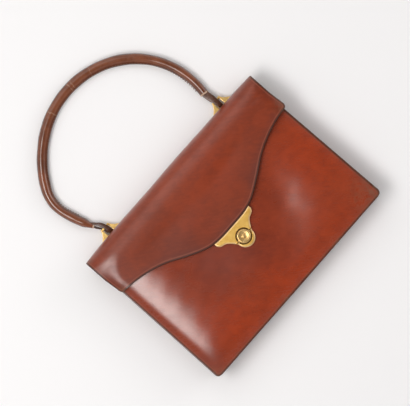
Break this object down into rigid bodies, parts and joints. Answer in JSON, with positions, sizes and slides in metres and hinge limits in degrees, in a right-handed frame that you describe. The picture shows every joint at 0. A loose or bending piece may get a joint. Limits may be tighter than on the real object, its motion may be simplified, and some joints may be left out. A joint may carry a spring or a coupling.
{
  "type": "flap handbag",
  "caption": "Stiff brown leather flap handbag with a gold-tone turning clasp, folded gussets and a rolled top handle in brackets.",
  "frame": {"origin": "middle of the flat back panel's outer face, which the bag rests on", "axes": "+X across the bag to its right as seen from the front, +Y up the bag towards the handle, +Z out of the front"},
  "size_m": [0.262, 0.3273, 0.0409],
  "materials": {
    "leather": "smooth, semi-gloss",
    "handle_leather": "smooth, worn",
    "lining": "matt",
    "gold_tone": "polished, gold-tone",
    "plain_metal": "plain",
    "board": "raw fibreboard",
    "cord": "twisted cord"
  },
  "bodies": {
    "bag": {"back_panel": "leather", "back_lining": "lining", "front_panel": "leather", "front_lining": "lining", "left_gusset": "leather", "right_gusset": "leather", "left_gusset_lining": "lining", "right_gusset_lining": "lining", "base_panel": "leather", "base_board": "board", "left_bracket": "gold_tone", "right_bracket": "gold_tone", "left_bracket_backing": "plain_metal", "right_bracket_backing": "plain_metal", "bracket_rivets": "plain_metal", "lock_base": "gold_tone", "lock_backing_plate": "plain_metal", "lock_rivets": "plain_metal"},
    "flap": {"flap": "leather", "flap_lining": "lining", "flap_plate": "gold_tone", "flap_plate_rivets": "gold_tone"},
    "knob": {"lock_knob": "gold_tone", "knob_washer": "plain_metal"},
    "handle": {"handle_grip": "handle_leather", "handle_core": "cord", "left_handle_strap": "handle_leather", "right_handle_strap": "handle_leather"}
  },
  "joints": [
    {"name": "flap_hinge", "type": "hinge", "parent": "bag", "child": "flap", "pos_m": [0, 0.0932, 0.02306], "axis": [-1, 0, 0], "range_deg": [0, 110]},
    {"name": "knob_turn", "type": "hinge", "parent": "bag", "child": "knob", "pos_m": [0, -0.0143, 0.0391], "axis": [0, 0, 1], "range_deg": [0, 90]},
    {"name": "handle_swing", "type": "hinge", "parent": "bag", "child": "handle", "pos_m": [0, 0.1023, 0.0054], "axis": [1, 0, 0], "range_deg": [-85, 45]}
  ]
}
